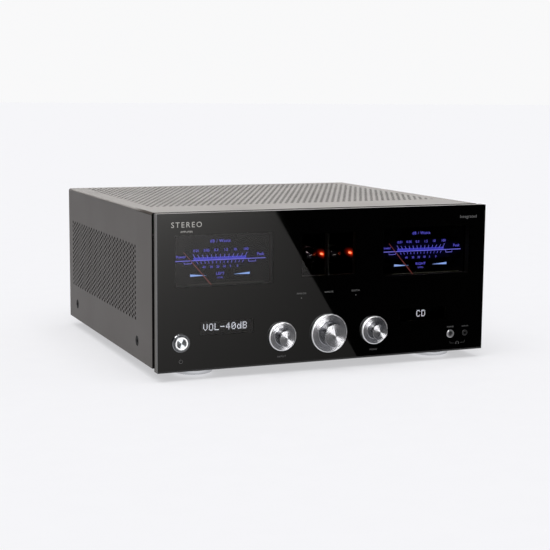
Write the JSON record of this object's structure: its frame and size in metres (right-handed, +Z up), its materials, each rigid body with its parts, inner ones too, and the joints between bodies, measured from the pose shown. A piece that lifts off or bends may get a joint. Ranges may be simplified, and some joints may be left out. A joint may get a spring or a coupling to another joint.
{
  "type": "integrated amplifier",
  "caption": "Integrated hi-fi amplifier with a smoked glass front, needle meters, a window on its tubes, turned knobs and a socketed rear panel on a folded steel case.",
  "frame": {"origin": "on the floor plane, under the middle of the bounding box", "axes": "+X to the right as seen from the front, +Y to the back (the glass front faces -Y), +Z up"},
  "size_m": [0.43, 0.448, 0.194],
  "materials": {
    "smoked_glass": "gloss, smoked",
    "fascia_paint": "satin warm grey",
    "case_paint": "satin warm grey",
    "black_steel": "matt black",
    "plain_steel": "bare",
    "turned_aluminium": "fine turned, bright",
    "black_aluminium": "black anodised",
    "polished_chrome": "polished",
    "black_plastic": "matt",
    "red_plastic": "gloss",
    "circuit_board": "solder mask",
    "wound_transformer": "varnished tape",
    "lit_dial": "back-lit print",
    "lit_display": "dot-matrix window",
    "needle_red": "painted",
    "tube_glass": "clear with a dark getter mirror"
  },
  "bodies": {
    "chassis": {"front_glass": "smoked_glass", "fascia_frame": "fascia_paint", "front_bulkhead": "black_steel", "top_cover": "case_paint", "base_pan": "black_steel", "rear_panel": "case_paint", "control_board": "circuit_board", "power_bezel": "polished_chrome", "headphone_jack": "polished_chrome", "aux_jack": "black_plastic", "tube_shroud": "black_plastic", "tube_board": "circuit_board", "transformer": "wound_transformer", "supply_board": "circuit_board", "input_board": "circuit_board", "line_sockets": "black_plastic", "digital_sockets": "black_plastic", "speaker_terminals": "black_plastic", "mains_inlet": "black_plastic", "input_encoder": "plain_steel", "volume_encoder": "plain_steel", "menu_encoder": "plain_steel", "meter_case_left": "black_plastic", "meter_dial_left": "lit_dial", "display_left": "lit_display", "tube_left": "tube_glass", "heatsink_left": "black_aluminium", "amp_board_left": "circuit_board", "foot_left_front": "polished_chrome", "cover_screw_left_front": "black_steel", "foot_left_rear": "polished_chrome", "cover_screw_left_rear": "black_steel", "meter_case_right": "black_plastic", "meter_dial_right": "lit_dial", "display_right": "lit_display", "tube_right": "tube_glass", "heatsink_right": "black_aluminium", "amp_board_right": "circuit_board", "foot_right_front": "polished_chrome", "cover_screw_right_front": "black_steel", "foot_right_rear": "polished_chrome", "cover_screw_right_rear": "black_steel"},
    "input_control": {"input_knob": "turned_aluminium", "input_shaft": "plain_steel"},
    "volume_control": {"volume_knob": "turned_aluminium", "volume_shaft": "plain_steel"},
    "menu_control": {"menu_knob": "turned_aluminium", "menu_shaft": "plain_steel"},
    "power_key": {"power_button": "polished_chrome"},
    "needle_left": {"meter_needle_left": "needle_red"},
    "needle_right": {"meter_needle_right": "needle_red"},
    "mains_rocker_key": {"mains_rocker": "black_plastic"},
    "terminal_cap_1_body": {"terminal_cap_1": "black_plastic"},
    "terminal_cap_2_body": {"terminal_cap_2": "red_plastic"},
    "terminal_cap_3_body": {"terminal_cap_3": "black_plastic"},
    "terminal_cap_4_body": {"terminal_cap_4": "red_plastic"},
    "terminal_cap_5_body": {"terminal_cap_5": "black_plastic"},
    "terminal_cap_6_body": {"terminal_cap_6": "red_plastic"},
    "terminal_cap_7_body": {"terminal_cap_7": "black_plastic"},
    "terminal_cap_8_body": {"terminal_cap_8": "red_plastic"}
  },
  "joints": [
    {"name": "input_turn", "type": "hinge", "parent": "chassis", "child": "input_control", "pos_m": [-0.061, -0.213, 0.0448], "axis": [0, 1, 0], "continuous": true},
    {"name": "volume_turn", "type": "hinge", "parent": "chassis", "child": "volume_control", "pos_m": [0, -0.213, 0.0448], "axis": [0, 1, 0], "continuous": true},
    {"name": "menu_turn", "type": "hinge", "parent": "chassis", "child": "menu_control", "pos_m": [0.061, -0.213, 0.0448], "axis": [0, 1, 0], "continuous": true},
    {"name": "power_press", "type": "slide", "parent": "chassis", "child": "power_key", "axis": [0, 1, 0], "range_m": [0, 0.0025], "stiffness_N_per_m": 300, "springref_m": -0.001},
    {"name": "needle_swing_left", "type": "hinge", "parent": "chassis", "child": "needle_left", "pos_m": [-0.133, -0.1878, 0.095], "axis": [0, 1, 0], "range_deg": [0, 81.6], "stiffness_Nm_per_rad": 0.0001},
    {"name": "needle_swing_right", "type": "hinge", "parent": "chassis", "child": "needle_right", "pos_m": [0.133, -0.1878, 0.095], "axis": [0, 1, 0], "range_deg": [0, 81.6], "stiffness_Nm_per_rad": 0.0001},
    {"name": "mains_rock", "type": "hinge", "parent": "chassis", "child": "mains_rocker_key", "pos_m": [-0.178, 0.206, 0.063], "axis": [1, 0, 0], "range_deg": [0, 16]},
    {"name": "terminal_cap_1_turn", "type": "hinge", "parent": "chassis", "child": "terminal_cap_1_body", "pos_m": [-0.0875, 0.216, 0.037], "axis": [0, 1, 0], "continuous": true},
    {"name": "terminal_cap_2_turn", "type": "hinge", "parent": "chassis", "child": "terminal_cap_2_body", "pos_m": [-0.0625, 0.216, 0.037], "axis": [0, 1, 0], "continuous": true},
    {"name": "terminal_cap_3_turn", "type": "hinge", "parent": "chassis", "child": "terminal_cap_3_body", "pos_m": [-0.0375, 0.216, 0.037], "axis": [0, 1, 0], "continuous": true},
    {"name": "terminal_cap_4_turn", "type": "hinge", "parent": "chassis", "child": "terminal_cap_4_body", "pos_m": [-0.0125, 0.216, 0.037], "axis": [0, 1, 0], "continuous": true},
    {"name": "terminal_cap_5_turn", "type": "hinge", "parent": "chassis", "child": "terminal_cap_5_body", "pos_m": [0.0125, 0.216, 0.037], "axis": [0, 1, 0], "continuous": true},
    {"name": "terminal_cap_6_turn", "type": "hinge", "parent": "chassis", "child": "terminal_cap_6_body", "pos_m": [0.0375, 0.216, 0.037], "axis": [0, 1, 0], "continuous": true},
    {"name": "terminal_cap_7_turn", "type": "hinge", "parent": "chassis", "child": "terminal_cap_7_body", "pos_m": [0.0625, 0.216, 0.037], "axis": [0, 1, 0], "continuous": true},
    {"name": "terminal_cap_8_turn", "type": "hinge", "parent": "chassis", "child": "terminal_cap_8_body", "pos_m": [0.0875, 0.216, 0.037], "axis": [0, 1, 0], "continuous": true}
  ]
}
